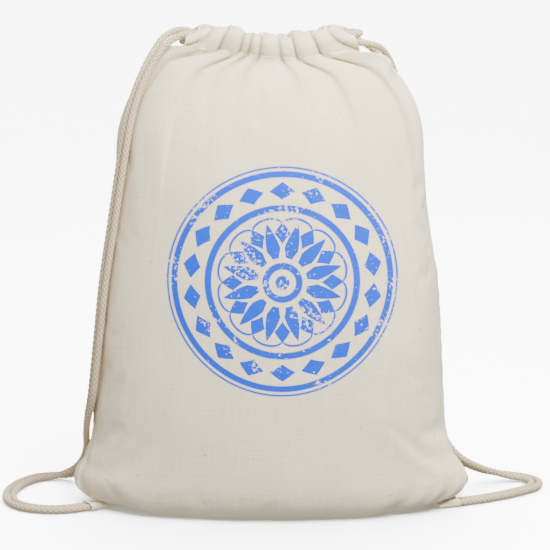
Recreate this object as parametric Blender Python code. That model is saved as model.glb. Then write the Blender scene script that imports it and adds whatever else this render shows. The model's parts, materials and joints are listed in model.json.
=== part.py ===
"""Drawstring backpack: a soft cotton bag with a corded mouth, standing filled on a flat surface.

Metres, +Z up, the front of the bag faces -Y, the origin is under the middle of the bag at its base.
"""

import math

import bpy
import bmesh
import numpy as np
from mathutils import Vector

# The bag's wall, from the base up: height, half width and half depth at each level
LEVELS = [
    (0.000, 0.1600, 0.0580),
    (0.004, 0.1710, 0.0690),
    (0.013, 0.1770, 0.0765),
    (0.024, 0.1740, 0.0800),
    (0.038, 0.1660, 0.0815),
    (0.060, 0.1580, 0.0825),
    (0.100, 0.1545, 0.0830),
    (0.150, 0.1530, 0.0825),
    (0.205, 0.1485, 0.0805),
    (0.255, 0.1410, 0.0775),
    (0.305, 0.1340, 0.0715),
    (0.340, 0.1280, 0.0640),
    (0.362, 0.1190, 0.0570),
    (0.380, 0.1060, 0.0490),
    (0.393, 0.0910, 0.0410),
    (0.4035, 0.0710, 0.0310),
]
CLOTH = 0.0015  # thickness of the cloth
SEAM_GAP = 0.0005  # half the gap between two cloth edges that meet in a seam
CORNER_GAP = 0.0013  # the same at the bottom corners, where the edges are tilted
TOUCH_GAP = 0.0003  # gap between pieces that touch

CORNER_ANGLE = math.radians(67)  # where the flat bag's bottom corner lies, round from the front
SEAM_SWING = 0.055  # below this height the side seam turns forward to the corner
CORNER_LIFT = 0.007  # the base rises this much towards the sides
LIFT_FROM = 0.45  # how far out, as a share, the base starts to rise
LIFT_TOP = 0.05  # above this height the wall keeps its own height
BOTTOM_SEAM_HALF = 0.1490  # half length of the bottom seam, across the base
BOTTOM_SEAM_Y = -0.004
BOTTOM_SEAM_FORWARD = 0.0175  # how far its ends lie in front of its middle
BOTTOM_SEAM_LIFT = 0.0055  # how far its ends rise

# The mouth: two gathered casings that bow away from each other
CASING_HALF = 0.061
CASING_END_Y = 0.012
CASING_BOW = 0.014
BOW_HALF = 0.058  # the casing bows between these points and is straight beyond them
CASING_Z = 0.4145
CASING_HALF_HEIGHT = 0.010
CASING_HALF_DEPTH = 0.007
NECK_HALF = 0.066  # half width of the panels' top edge
NECK_FROM = 0.93  # the wall's last stretch, which turns into the neck

THREAD = 0.0007  # thickness of a line of stitches
STITCHED_HALF = 0.0560  # half length of the hem stitching
STITCH_OUT, STITCH_DOWN = 0.78, 0.64  # its place on the casing, as shares of the half depth and height
TACK_HALF = 0.0045
SEAM_DEPTH = 0.0075  # how far a seam's cloth edges reach into the bag
SEAM_THICKNESS = 0.0018
SEAM_FROM = 0.17  # the side seam's strip starts and ends at these shares of the wall
SEAM_TO = 0.84

CORD = 0.006  # cord diameter
RUN_HALF = 0.063
RUN_RISE = 0.0033  # each run lies this far above or below the casing's middle
TURN_RADIUS = 0.012
TURN_START = RUN_HALF + TOUCH_GAP  # a turn is straight from here until it bends
TURN_BEND = TURN_START + 0.0015

ACROSS = 22  # cells across one panel
UP_WALL = 19
UNDER_BASE = 4

CREAM = (0.80, 0.75, 0.66)
SEAM_CREAM = (0.72, 0.67, 0.57)
CORD_BEIGE = (0.60, 0.50, 0.37)

# Each pair of strands, from the casings to its bottom corner: a point on the pair's middle line, then
# the way from there to the strand that comes out of the front casing
LEFT_PAIR = [
    ((-0.0690, 0.0000, 0.4178), (0.0000, -0.0120, 0.0000)),
    ((-0.0755, -0.0020, 0.4186), (0.0000, -0.0120, -0.0010)),
    ((-0.0820, -0.0060, 0.4175), (0.0020, -0.0100, -0.0015)),
    ((-0.0905, -0.0120, 0.4125), (0.0030, -0.0070, -0.0010)),
    ((-0.0990, -0.0190, 0.4020), (0.0028, -0.0042, 0.0000)),
    ((-0.1075, -0.0250, 0.3870), (0.0024, -0.0024, 0.0000)),
    ((-0.1165, -0.0300, 0.3650), (0.0023, -0.0025, 0.0000)),
    ((-0.1230, -0.0335, 0.3400), (0.0022, -0.0026, 0.0000)),
    ((-0.1290, -0.0350, 0.3050), (0.0021, -0.0027, 0.0000)),
    ((-0.1370, -0.0340, 0.2550), (0.0020, -0.0028, 0.0000)),
    ((-0.1450, -0.0325, 0.2050), (0.0018, -0.0029, 0.0000)),
    ((-0.1515, -0.0290, 0.1500), (0.0015, -0.0030, 0.0000)),
    ((-0.1575, -0.0220, 0.1020), (0.0012, -0.0032, -0.0004)),
    ((-0.1630, -0.0060, 0.0760), (0.0002, -0.0027, -0.0022)),
    ((-0.1655, 0.0120, 0.0560), (0.0004, -0.0026, -0.0022)),
    ((-0.1665, 0.0290, 0.0385), (0.0008, -0.0024, -0.0024)),
    ((-0.1700, 0.0440, 0.0235), (0.0016, -0.0014, -0.0028)),
    ((-0.1780, 0.0550, 0.0120), (0.0021, 0.0007, -0.0026)),
    ((-0.1905, 0.0625, 0.0058), (0.0016, 0.0028, -0.0014)),
    ((-0.2020, 0.0655, 0.0037), (0.0008, 0.0035, 0.0000)),
    ((-0.2160, 0.0590, 0.0036), (-0.0020, 0.0030, 0.0000)),
    ((-0.2285, 0.0400, 0.0036), (-0.0032, 0.0015, 0.0000)),
    ((-0.2345, 0.0120, 0.0036), (-0.0035, 0.0002, 0.0000)),
    ((-0.2310, -0.0160, 0.0036), (-0.0031, -0.0014, 0.0000)),
    ((-0.2170, -0.0350, 0.0036), (-0.0017, -0.0029, 0.0000)),
    ((-0.1960, -0.0430, 0.0036), (-0.0002, -0.0034, 0.0000)),
    ((-0.1780, -0.0410, 0.0036), (0.0009, -0.0033, 0.0000)),
    ((-0.1665, -0.0358, 0.0036), (0.0017, -0.0028, 0.0000)),
]
RIGHT_PAIR = [
    ((0.0690, 0.0000, 0.4112), (0.0000, -0.0120, 0.0000)),
    ((0.0755, 0.0020, 0.4106), (0.0000, -0.0120, 0.0000)),
    ((0.0820, 0.0060, 0.4085), (0.0020, -0.0100, 0.0005)),
    ((0.0900, 0.0130, 0.4045), (0.0040, -0.0068, 0.0005)),
    ((0.0970, 0.0220, 0.3970), (0.0040, -0.0036, 0.0000)),
    ((0.1035, 0.0310, 0.3860), (0.0030, -0.0020, 0.0000)),
    ((0.1100, 0.0400, 0.3660), (0.0029, -0.0018, 0.0000)),
    ((0.1150, 0.0470, 0.3400), (0.0028, -0.0019, 0.0000)),
    ((0.1200, 0.0510, 0.3050), (0.0027, -0.0020, 0.0000)),
    ((0.1260, 0.0540, 0.2550), (0.0026, -0.0022, 0.0000)),
    ((0.1330, 0.0530, 0.2050), (0.0025, -0.0023, 0.0000)),
    ((0.1390, 0.0500, 0.1500), (0.0024, -0.0024, 0.0000)),
    ((0.1460, 0.0490, 0.1000), (0.0022, -0.0026, 0.0000)),
    ((0.1455, 0.0480, 0.0650), (0.0022, -0.0024, 0.0008)),
    ((0.1570, 0.0420, 0.0430), (0.0018, -0.0024, 0.0016)),
    ((0.1700, 0.0400, 0.0280), (0.0012, -0.0026, 0.0019)),
    ((0.1880, 0.0460, 0.0170), (0.0010, -0.0029, 0.0015)),
    ((0.2050, 0.0560, 0.0096), (0.0012, -0.0032, 0.0007)),
    ((0.2190, 0.0610, 0.0056), (0.0003, -0.0035, 0.0000)),
    ((0.2310, 0.0600, 0.0040), (-0.0017, -0.0031, 0.0000)),
    ((0.2395, 0.0510, 0.0037), (-0.0034, -0.0012, 0.0000)),
    ((0.2410, 0.0400, 0.0036), (-0.0036, 0.0003, 0.0000)),
    ((0.2375, 0.0300, 0.0036), (-0.0031, 0.0018, 0.0000)),
    ((0.2290, 0.0200, 0.0036), (-0.0023, 0.0025, 0.0000)),
    ((0.2120, 0.0060, 0.0036), (-0.0017, 0.0030, 0.0000)),
    ((0.1930, -0.0060, 0.0036), (-0.0013, 0.0032, 0.0000)),
    ((0.1800, -0.0130, 0.0036), (-0.0013, 0.0032, 0.0000)),
    ((0.1700, -0.0178, 0.0036), (-0.0012, 0.0032, 0.0000)),
]
POINT_SPACING = 0.0165  # between two points of a strand's tube

# Each tab: where it leaves the corner of the seams, and the way it points
TABS = {
    "left": (Vector((-0.1490, -0.0245, 0.0032)), Vector((-0.80, -0.60, 0))),
    "right": (Vector((0.1490, -0.0245, 0.0032)), Vector((0.95, 0.31, 0))),
}
TAB_LENGTH = 0.0165
TAB_HALF_WIDTH = 0.0070
TAB_RINGS = (  # share of the length, and the tab's underside and top there
    (0, 0.0012, 0.0040),
    (0.45, 0.0005, 0.0062),
    (1, 0.0005, 0.0070),
)


def clear_scene():
    for thing in list(bpy.data.objects):
        bpy.data.objects.remove(thing, do_unlink=True)


def material(name, colour, roughness):
    made = bpy.data.materials.new(name)
    made.use_nodes = True
    shader = made.node_tree.nodes["Principled BSDF"]
    shader.inputs["Base Color"].default_value = (*colour, 1)
    shader.inputs["Roughness"].default_value = roughness
    shader.inputs["Metallic"].default_value = 0
    return made


def place(name, mesh_or_curve, colour, roughness=0.9):
    piece = bpy.data.objects.new(name, mesh_or_curve)
    bpy.context.scene.collection.objects.link(piece)
    piece.data.materials.append(material(name + "_finish", colour, roughness))
    return piece


def smooth_step(value):
    value = np.clip(value, 0, 1)
    return value * value * (3 - 2 * value)


def level(share):
    """Height, half width and half depth at a share of the way up the wall, on a smooth curve."""
    table = np.array(LEVELS)
    along = np.concatenate([[0], np.cumsum(np.linalg.norm(np.diff(table, axis=0), axis=1))])
    along /= along[-1]
    slopes = np.gradient(table, along, axis=0)
    i = int(np.clip(np.searchsorted(along, share) - 1, 0, len(along) - 2))
    span = along[i + 1] - along[i]
    t = (share - along[i]) / span
    return (
        (2 * t**3 - 3 * t**2 + 1) * table[i]
        + (t**3 - 2 * t**2 + t) * span * slopes[i]
        + (3 * t**2 - 2 * t**3) * table[i + 1]
        + (t**3 - t**2) * span * slopes[i + 1]
    )


def edge_angle(height):
    """Angle of the side seam, round from the front, at a height."""
    drop = max(0.0, 1 - height / SEAM_SWING)
    return math.pi / 2 - (math.pi / 2 - CORNER_ANGLE) * drop**1.5


def seam_gap(u):
    return SEAM_GAP + (CORNER_GAP - SEAM_GAP) * abs(u) ** 6


def casing_y(x, side):
    """Middle line of a casing: side is -1 at the front and 1 at the back."""
    bump = max(0.0, 1 - (x / BOW_HALF) ** 2) ** 2
    return side * (CASING_END_Y + CASING_BOW * bump)


def wall_point(u, share, side):
    """A point on the outside of the wall; u runs from -1 at the left seam to 1 at the right one."""
    height, half_width, half_depth = level(share)
    edge = edge_angle(height)
    angle = u * edge if side < 0 else math.pi - u * (math.pi - edge)
    lift = CORNER_LIFT * smooth_step((abs(math.sin(angle)) - LIFT_FROM) / (1 - LIFT_FROM))
    lift *= max(0.0, 1 - height / LIFT_TOP)
    x = half_width * math.sin(angle)
    y = -half_depth * math.cos(angle) + side * seam_gap(u)
    neck = smooth_step((share - NECK_FROM) / (1 - NECK_FROM))
    neck_x = u * NECK_HALF
    x += neck * (neck_x - x)
    y += neck * (casing_y(neck_x, side) - y)
    return Vector((x, y, height + lift))


def seam_point(u, side):
    """A point on the bottom seam."""
    return Vector((
        BOTTOM_SEAM_HALF * u,
        BOTTOM_SEAM_Y - BOTTOM_SEAM_FORWARD * u**4 + side * seam_gap(u),
        BOTTOM_SEAM_LIFT * smooth_step((abs(u) - LIFT_FROM) / (1 - LIFT_FROM)),
    ))


def panel_rows(side):
    """Rows of points from the bottom seam, under the base and up the wall to the mouth."""
    columns = [2 * i / ACROSS - 1 for i in range(ACROSS + 1)]
    rows = []
    for k in range(UNDER_BASE):
        part = k / UNDER_BASE
        rows.append([seam_point(u, side).lerp(wall_point(u, 0, side), part) for u in columns])
    for k in range(UP_WALL + 1):
        share = (k / UP_WALL) ** 1.15
        rows.append([wall_point(u, share, side) for u in columns])
    return rows


def sheet_mesh(name, rows, flip):
    """A grid of faces through rows of points."""
    shape = bmesh.new()
    grid = [[shape.verts.new(point) for point in row] for row in rows]
    for low, high in zip(grid, grid[1:]):
        for i in range(len(low) - 1):
            corners = [low[i], low[i + 1], high[i + 1], high[i]]
            shape.faces.new(corners[::-1] if flip else corners)
    mesh = bpy.data.meshes.new(name)
    shape.to_mesh(mesh)
    shape.free()
    mesh.shade_smooth()
    return mesh


def thicken(piece):
    """Gives a sheet the thickness of the cloth, inwards."""
    solid = piece.modifiers.new("cloth", "SOLIDIFY")
    solid.thickness = CLOTH
    solid.offset = -1


def panel(name, side):
    thicken(place(name, sheet_mesh(name, panel_rows(side), flip=side > 0), CREAM))


def casing(name, side):
    """A hem tunnel: an open tube along the casing's middle line, with a wall of cloth."""
    stations, around = 20, 12
    rows = []
    for k in range(stations + 1):
        x = CASING_HALF * (2 * k / stations - 1)
        rows.append([
            Vector((
                x,
                casing_y(x, side) + CASING_HALF_DEPTH * math.cos(turn),
                CASING_Z + CASING_HALF_HEIGHT * math.sin(turn),
            ))
            for turn in (2 * math.pi * i / around for i in range(around))
        ])
    shape = bmesh.new()
    rings = [[shape.verts.new(point) for point in row] for row in rows]
    for low, high in zip(rings, rings[1:]):
        for i in range(around):
            j = (i + 1) % around
            shape.faces.new((low[i], low[j], high[j], high[i]))
    mesh = bpy.data.meshes.new(name)
    shape.to_mesh(mesh)
    shape.free()
    mesh.shade_smooth()
    thicken(place(name, mesh, CREAM))


def block(name, middle, a, b, c, colour):
    """A closed block from its middle and three half-size vectors."""
    shape = bmesh.new()
    corners = [
        shape.verts.new(middle + a * i + b * j + c * k)
        for i in (-1, 1) for j in (-1, 1) for k in (-1, 1)
    ]
    for face in ((0, 1, 3, 2), (4, 6, 7, 5), (0, 4, 5, 1), (2, 3, 7, 6), (0, 2, 6, 4), (1, 5, 7, 3)):
        shape.faces.new([corners[i] for i in face])
    bmesh.ops.recalc_face_normals(shape, faces=shape.faces)
    mesh = bpy.data.meshes.new(name)
    shape.to_mesh(mesh)
    shape.free()
    return place(name, mesh, colour)


def strip(name, rings, colour=SEAM_CREAM):
    """A closed bar through rings of four points."""
    shape = bmesh.new()
    rings = [[shape.verts.new(point) for point in ring] for ring in rings]
    for low, high in zip(rings, rings[1:]):
        for i in range(4):
            j = (i + 1) % 4
            shape.faces.new((low[i], low[j], high[j], high[i]))
    shape.faces.new(rings[0][::-1])
    shape.faces.new(rings[-1])
    bmesh.ops.recalc_face_normals(shape, faces=shape.faces)
    mesh = bpy.data.meshes.new(name)
    shape.to_mesh(mesh)
    shape.free()
    return place(name, mesh, colour)


def hem_stitching(name, side):
    """The line of thread low on the outer face of a casing."""
    rings = []
    near = side * (CASING_HALF_DEPTH * STITCH_OUT + TOUCH_GAP)
    far = near + side * THREAD
    for k in range(21):
        x = STITCHED_HALF * (k / 10 - 1)
        y = casing_y(x, side)
        z = CASING_Z - CASING_HALF_HEIGHT * STITCH_DOWN
        rings.append([
            Vector((x, y + near, z)), Vector((x, y + far, z)),
            Vector((x, y + far, z - THREAD)), Vector((x, y + near, z - THREAD)),
        ])
    return strip(name, rings)


def end_tack(name, side, end):
    """A short upright bar of stitches at the end of a casing's hem."""
    x = end * (STITCHED_HALF + 2 * THREAD)
    y = casing_y(x, side) + side * (CASING_HALF_DEPTH + TOUCH_GAP + THREAD)
    half = (Vector((THREAD, 0, 0)), Vector((0, THREAD * 0.6, 0)), Vector((0, 0, TACK_HALF)))
    return block(name, Vector((x, y, CASING_Z)), *half, SEAM_CREAM)


def seam_strip(name, points, across):
    """The two cloth edges and their overlock inside a seam, as one strip along the seam line."""
    rings = []
    for k, point in enumerate(points):
        ahead = points[min(k + 1, len(points) - 1)] - points[max(k - 1, 0)]
        inward = ahead.cross(across).normalized()
        side = across * SEAM_THICKNESS / 2
        near = point + inward * (CLOTH + 4 * TOUCH_GAP)
        far = point + inward * (CLOTH + SEAM_DEPTH)
        rings.append([near - side, near + side, far + side, far - side])
    return strip(name, rings)


def side_seam(name, end):
    points = []
    for k in range(17):
        point = wall_point(end, SEAM_FROM + (SEAM_TO - SEAM_FROM) * k / 16, -1)
        points.append(Vector((point.x, 0, point.z)))
    return seam_strip(name, points, Vector((0, end, 0)))


def bottom_seam(name):
    points = [seam_point(0.9 * (2 * k / 16 - 1), 0) for k in range(17)]
    return seam_strip(name, points, Vector((0, 1, 0)))


def cord_tube(name, points):
    curve = bpy.data.curves.new(name, "CURVE")
    curve.dimensions = "3D"
    curve.bevel_depth = CORD / 2
    curve.bevel_resolution = 2
    curve.use_fill_caps = True
    line = curve.splines.new("POLY")
    line.points.add(len(points) - 1)
    for spot, point in zip(line.points, points):
        spot.co = (*point, 1)
    line.use_smooth = True
    return place(name, curve, CORD_BEIGE, 0.85)


def cord_run(name, side, rise):
    """The stretch of cord inside a casing."""
    count = 8
    stations = [-RUN_HALF, *(BOW_HALF * (2 * k / count - 1) for k in range(count + 1)), RUN_HALF]
    return cord_tube(name, [Vector((x, casing_y(x, side), CASING_Z + rise)) for x in stations])


def cord_turn(name, end, rise):
    """The bend from the front casing round into the back one."""
    points = []
    for k in range(11):
        angle = math.pi * k / 10 - math.pi / 2
        x = TURN_BEND + TURN_RADIUS * math.cos(angle)
        points.append(Vector((end * x, TURN_RADIUS * math.sin(angle), CASING_Z + rise)))
    first, last = points[0].copy(), points[-1].copy()
    first.x = last.x = end * TURN_START
    return cord_tube(name, [first, *points, last])


def strand(name, pair, share):
    """One strand of a pair; share is 1 for the front casing's strand and -1 for the back casing's."""
    route = [Vector(middle) + share * Vector(aside) for middle, aside in pair]
    fine = []
    for k in range(len(route) - 1):
        before = route[max(k - 1, 0)]
        after = route[min(k + 2, len(route) - 1)]
        for i in range(12):
            t = i / 12
            fine.append(
                (2 * t**3 - 3 * t**2 + 1) * route[k]
                + (t**3 - 2 * t**2 + t) * (route[k + 1] - before) / 2
                + (3 * t**2 - 2 * t**3) * route[k + 1]
                + (t**3 - t**2) * (after - route[k]) / 2
            )
    fine.append(route[-1])
    walked = np.concatenate([[0], np.cumsum([(b - a).length for a, b in zip(fine, fine[1:])])])
    count = round(walked[-1] / POINT_SPACING)
    spots = np.linspace(0, walked[-1], count + 1)
    return cord_tube(name, [
        Vector(np.interp(spot, walked, [point[axis] for point in fine]) for axis in range(3))
        for spot in spots
    ])


def corner_tab(name, root, way):
    """The folded cloth tab in a bottom corner: flat at the seam, thick where it holds the cord's ends."""
    way = way.normalized()
    across = Vector((-way.y, way.x, 0)) * TAB_HALF_WIDTH
    rings = []
    for part, low, high in TAB_RINGS:
        spot = root + way * TAB_LENGTH * part
        rings.append([
            Vector((*(spot + side).xy, height))
            for side, height in ((-across, low), (across, low), (across, high), (-across, high))
        ])
    return strip(name, rings, CREAM)


def main():
    clear_scene()
    panel("front_panel", -1)
    panel("back_panel", 1)
    for side, word in ((-1, "front"), (1, "back")):
        casing(word + "_casing", side)
        hem_stitching(word + "_casing_stitching", side)
        end_tack(word + "_casing_left_tack", side, -1)
        end_tack(word + "_casing_right_tack", side, 1)
        cord_run("left_cord_" + word + "_run", side, RUN_RISE)
        cord_run("right_cord_" + word + "_run", side, -RUN_RISE)
    side_seam("left_side_seam", -1)
    side_seam("right_side_seam", 1)
    bottom_seam("bottom_seam")
    cord_turn("left_cord_turn", 1, RUN_RISE)
    cord_turn("right_cord_turn", -1, -RUN_RISE)
    for hand, pair in (("left", LEFT_PAIR), ("right", RIGHT_PAIR)):
        corner_tab(hand + "_corner_tab", *TABS[hand])
        strand(hand + "_cord_front_strand", pair, 1)
        strand(hand + "_cord_back_strand", pair, -1)


main()
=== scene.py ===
"""Drawstring backpack: its cloth, cords and stitching, and the studio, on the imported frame."""

import json
import math

import bpy
import numpy as np
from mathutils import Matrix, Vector
from mathutils.kdtree import KDTree

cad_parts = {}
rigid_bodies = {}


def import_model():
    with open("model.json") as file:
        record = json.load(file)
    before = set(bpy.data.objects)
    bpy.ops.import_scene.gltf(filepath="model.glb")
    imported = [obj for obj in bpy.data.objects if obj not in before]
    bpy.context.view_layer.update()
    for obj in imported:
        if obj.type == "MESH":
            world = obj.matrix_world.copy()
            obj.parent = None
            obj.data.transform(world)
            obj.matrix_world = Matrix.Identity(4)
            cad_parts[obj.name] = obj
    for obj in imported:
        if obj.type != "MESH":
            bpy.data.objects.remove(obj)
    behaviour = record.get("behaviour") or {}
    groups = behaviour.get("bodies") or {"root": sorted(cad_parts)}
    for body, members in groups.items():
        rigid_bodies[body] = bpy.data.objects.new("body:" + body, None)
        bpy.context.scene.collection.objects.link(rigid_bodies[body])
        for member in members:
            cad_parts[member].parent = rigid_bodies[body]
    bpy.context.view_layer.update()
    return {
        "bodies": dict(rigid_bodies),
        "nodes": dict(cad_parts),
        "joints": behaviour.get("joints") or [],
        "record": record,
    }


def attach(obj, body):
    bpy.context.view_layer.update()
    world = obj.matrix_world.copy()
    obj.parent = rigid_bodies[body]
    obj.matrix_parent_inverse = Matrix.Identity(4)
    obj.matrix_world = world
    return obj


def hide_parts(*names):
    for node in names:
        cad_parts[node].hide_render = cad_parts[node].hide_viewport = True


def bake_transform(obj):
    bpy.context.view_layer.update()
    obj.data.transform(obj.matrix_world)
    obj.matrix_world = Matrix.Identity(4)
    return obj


bl_info = {
    "name": "Drawstring Backpack",
    "version": (1, 0, 0),
    "blender": (4, 5, 0),
    "location": "View3D > Sidebar > Backpack",
    "description": "Makes the cloth, cords and stitching of a cotton drawstring backpack on its frame",
    "category": "Object",
}

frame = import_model()

# The bag's wall, from the base up: height, half width and half depth at each level
LEVELS = np.array([
    (0, 0.16, 0.058),
    (0.004, 0.171, 0.069),
    (0.013, 0.177, 0.0765),
    (0.024, 0.174, 0.08),
    (0.038, 0.166, 0.0815),
    (0.06, 0.158, 0.0825),
    (0.1, 0.1545, 0.083),
    (0.15, 0.153, 0.0825),
    (0.205, 0.1485, 0.0805),
    (0.255, 0.141, 0.0775),
    (0.305, 0.134, 0.0715),
    (0.34, 0.128, 0.064),
    (0.362, 0.119, 0.057),
    (0.38, 0.106, 0.049),
    (0.393, 0.091, 0.041),
    (0.4035, 0.071, 0.031),
])
CORNER_ANGLE = math.radians(67)
SEAM_SWING = 0.055
CORNER_LIFT = 0.007
LIFT_FROM = 0.45
SEAM_GAP = 0.0005
CORNER_GAP = 0.0013
BOTTOM_SEAM_HALF = 0.1490
BOTTOM_SEAM_FORWARD = 0.0175
NECK_HALF = 0.066
NECK_FROM = 0.93
NECK_OUT = 0.0066  # the cloth runs on into the outer face of the casing
NECK_RISE = 0.0030
CASING_END_Y = 0.012
CASING_BOW = 0.014
BOW_HALF = 0.058
CASING_HALF = 0.061
CASING_Z = 0.4145
CASING_HALF_HEIGHT = 0.010
CASING_HALF_DEPTH = 0.007
CASING_OVERHANG = 0.0055  # the loose cloth at a casing's ends reaches this much further
CASING_TIP = 0.0085  # and its outer face this much more, over the bend of the cord
CASING_TIP_FROM = 0.945
CASING_TIP_DROP = 0.0045
STITCH_HIGH = -0.66  # sine of the angle round the casing where its stitching lies
RUN_RISE = 0.0033
TURN_RADIUS = 0.012
RUN_END = 0.063
STRAND_START = 0.0650
STRAND_TUCKED = 0.006  # of a strand's end lies on inside its tab
CURVE_STEPS = 16  # points of a smooth path between two of its route
CARRIERS = 4  # yarns each way round the braid
BACK_INWARD, BACK_DROP, FRONT_OUTWARD = 0.0070, 0.0090, 0.0025  # slump of the rims' middles
SEAM_WIDTH, SEAM_THICKNESS, SEAM_LOOP = 0.0062, 0.0009, 0.0024
DRAPE, FINE_DRAPE, FOOT_DRAPE, CRUMPLE = 0.0019, 0.0008, 0.0014, 0.0022  # soft folds of the panels
SEAM_SWELL, SEAM_VALLEY, SEAM_RIDGE, PUCKER = 0.0012, 0.0016, 0.0015, 0.0003  # beside the seams
CORD_BULGE = 0.0042
CORD_ROOM = 0.0007  # between a strand and the cloth it lies against
CORE_SHARE, CORE_TOP = 0.75, 0.36  # where the cloth is pushed to, in the bag's middle
HELD_BELOW, HELD_ABOVE = 0.03, 0.992  # shares of the wall that stay put as the cloth settles
STRETCH, SHEAR, CLOTH_MASS = 15, 5, 0.25
FLOOR_ROWS = 40
LIT_HEIGHT = 0.15  # the lamps point at this height
SENSOR_WIDTH = 36.0  # of the camera, in millimetres
COTTON_ROUGHNESS, WEAVE_RELIEF = 0.93, 0.00016
COTTON_SHEEN = {"Sheen_Weight": 0.05, "Sheen_Roughness": 0.5, "Specular_IOR_Level": 0.18}

# Each pair of strands: a point on the pair's middle line, then the way to the front casing's strand
LEFT_PAIR = [
    ((-0.069, 0, 0.4178), (0, -0.012, 0)),
    ((-0.0755, -0.002, 0.4186), (0, -0.012, -0.001)),
    ((-0.082, -0.006, 0.4175), (0.002, -0.01, -0.0015)),
    ((-0.0905, -0.012, 0.4125), (0.003, -0.007, -0.001)),
    ((-0.099, -0.019, 0.402), (0.0028, -0.0042, 0)),
    ((-0.1075, -0.025, 0.387), (0.0024, -0.0024, 0)),
    ((-0.1165, -0.03, 0.365), (0.0023, -0.0025, 0)),
    ((-0.123, -0.0335, 0.34), (0.0022, -0.0026, 0)),
    ((-0.129, -0.035, 0.305), (0.0021, -0.0027, 0)),
    ((-0.137, -0.034, 0.255), (0.002, -0.0028, 0)),
    ((-0.145, -0.0325, 0.205), (0.0018, -0.0029, 0)),
    ((-0.1515, -0.029, 0.15), (0.0015, -0.003, 0)),
    ((-0.1575, -0.022, 0.102), (0.0012, -0.0032, -0.0004)),
    ((-0.163, -0.006, 0.076), (0.0002, -0.0027, -0.0022)),
    ((-0.1655, 0.012, 0.056), (0.0004, -0.0026, -0.0022)),
    ((-0.1665, 0.029, 0.0385), (0.0008, -0.0024, -0.0024)),
    ((-0.17, 0.044, 0.0235), (0.0016, -0.0014, -0.0028)),
    ((-0.178, 0.055, 0.012), (0.0021, 0.0007, -0.0026)),
    ((-0.1905, 0.0625, 0.0058), (0.0016, 0.0028, -0.0014)),
    ((-0.202, 0.0655, 0.0037), (0.0008, 0.0035, 0)),
    ((-0.216, 0.059, 0.0036), (-0.002, 0.003, 0)),
    ((-0.2285, 0.04, 0.0036), (-0.0032, 0.0015, 0)),
    ((-0.2345, 0.012, 0.0036), (-0.0035, 0.0002, 0)),
    ((-0.231, -0.016, 0.0036), (-0.0031, -0.0014, 0)),
    ((-0.217, -0.035, 0.0036), (-0.0017, -0.0029, 0)),
    ((-0.196, -0.043, 0.0036), (-0.0002, -0.0034, 0)),
    ((-0.178, -0.041, 0.0036), (0.0009, -0.0033, 0)),
    ((-0.1665, -0.0358, 0.0036), (0.0017, -0.0028, 0)),
]
RIGHT_PAIR = [
    ((0.069, 0, 0.4112), (0, -0.012, 0)),
    ((0.0755, 0.002, 0.4106), (0, -0.012, 0)),
    ((0.082, 0.006, 0.4085), (0.002, -0.01, 0.0005)),
    ((0.09, 0.013, 0.4045), (0.004, -0.0068, 0.0005)),
    ((0.097, 0.022, 0.397), (0.004, -0.0036, 0)),
    ((0.1035, 0.031, 0.386), (0.003, -0.002, 0)),
    ((0.11, 0.04, 0.366), (0.0029, -0.0018, 0)),
    ((0.115, 0.047, 0.34), (0.0028, -0.0019, 0)),
    ((0.12, 0.051, 0.305), (0.0027, -0.002, 0)),
    ((0.126, 0.054, 0.255), (0.0026, -0.0022, 0)),
    ((0.133, 0.053, 0.205), (0.0025, -0.0023, 0)),
    ((0.139, 0.05, 0.15), (0.0024, -0.0024, 0)),
    ((0.146, 0.049, 0.1), (0.0022, -0.0026, 0)),
    ((0.1455, 0.048, 0.065), (0.0022, -0.0024, 0.0008)),
    ((0.157, 0.042, 0.043), (0.0018, -0.0024, 0.0016)),
    ((0.17, 0.04, 0.028), (0.0012, -0.0026, 0.0019)),
    ((0.188, 0.046, 0.017), (0.001, -0.0029, 0.0015)),
    ((0.205, 0.056, 0.0096), (0.0012, -0.0032, 0.0007)),
    ((0.219, 0.061, 0.0056), (0.0003, -0.0035, 0)),
    ((0.231, 0.06, 0.004), (-0.0017, -0.0031, 0)),
    ((0.2395, 0.051, 0.0037), (-0.0034, -0.0012, 0)),
    ((0.241, 0.04, 0.0036), (-0.0036, 0.0003, 0)),
    ((0.2375, 0.03, 0.0036), (-0.0031, 0.0018, 0)),
    ((0.229, 0.02, 0.0036), (-0.0023, 0.0025, 0)),
    ((0.212, 0.006, 0.0036), (-0.0017, 0.003, 0)),
    ((0.193, -0.006, 0.0036), (-0.0013, 0.0032, 0)),
    ((0.18, -0.013, 0.0036), (-0.0013, 0.0032, 0)),
    ((0.17, -0.0178, 0.0036), (-0.0012, 0.0032, 0)),
]
TABS = {
    "left": (Vector((-0.149, -0.0245, 0.0032)), Vector((-0.8, -0.6, 0))),
    "right": (Vector((0.149, -0.0245, 0.0032)), Vector((0.95, 0.31, 0))),
}
TAB_LENGTH = 0.0165

# Creases of the gathered mouth: place along the rim's top edge from the left end (-1) to the right
# (1), how far the cloth stands out between this crease and the next, and how far down the fold goes
FRONT_CREASES = [
    (-1.25, 0.60, 0.30), (-0.98, 0.75, 0.50), (-0.76, 0.95, 0.72), (-0.55, 1.10, 0.50),
    (-0.33, 0.65, 0.18), (-0.235, 0.75, 0.13), (-0.12, 0.85, 0.14), (0.10, 0.65, 0.18),
    (0.27, 1.00, 0.26), (0.52, 1.00, 0.44), (0.74, 0.80, 0.68), (0.95, 0.70, 0.46),
    (1.25, 0.0, 0.1),
]
BACK_CREASES = [
    (-1.25, 0.60, 0.30), (-0.96, 0.90, 0.50), (-0.70, 0.80, 0.55), (-0.52, 1.05, 0.35),
    (-0.36, 0.75, 0.22), (-0.19, 0.95, 0.25), (0.04, 0.80, 0.14), (0.20, 1.00, 0.22),
    (0.41, 0.75, 0.30), (0.58, 0.95, 0.50), (0.80, 0.80, 0.45), (1.00, 0.60, 0.30),
    (1.25, 0.0, 0.1),
]
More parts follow.
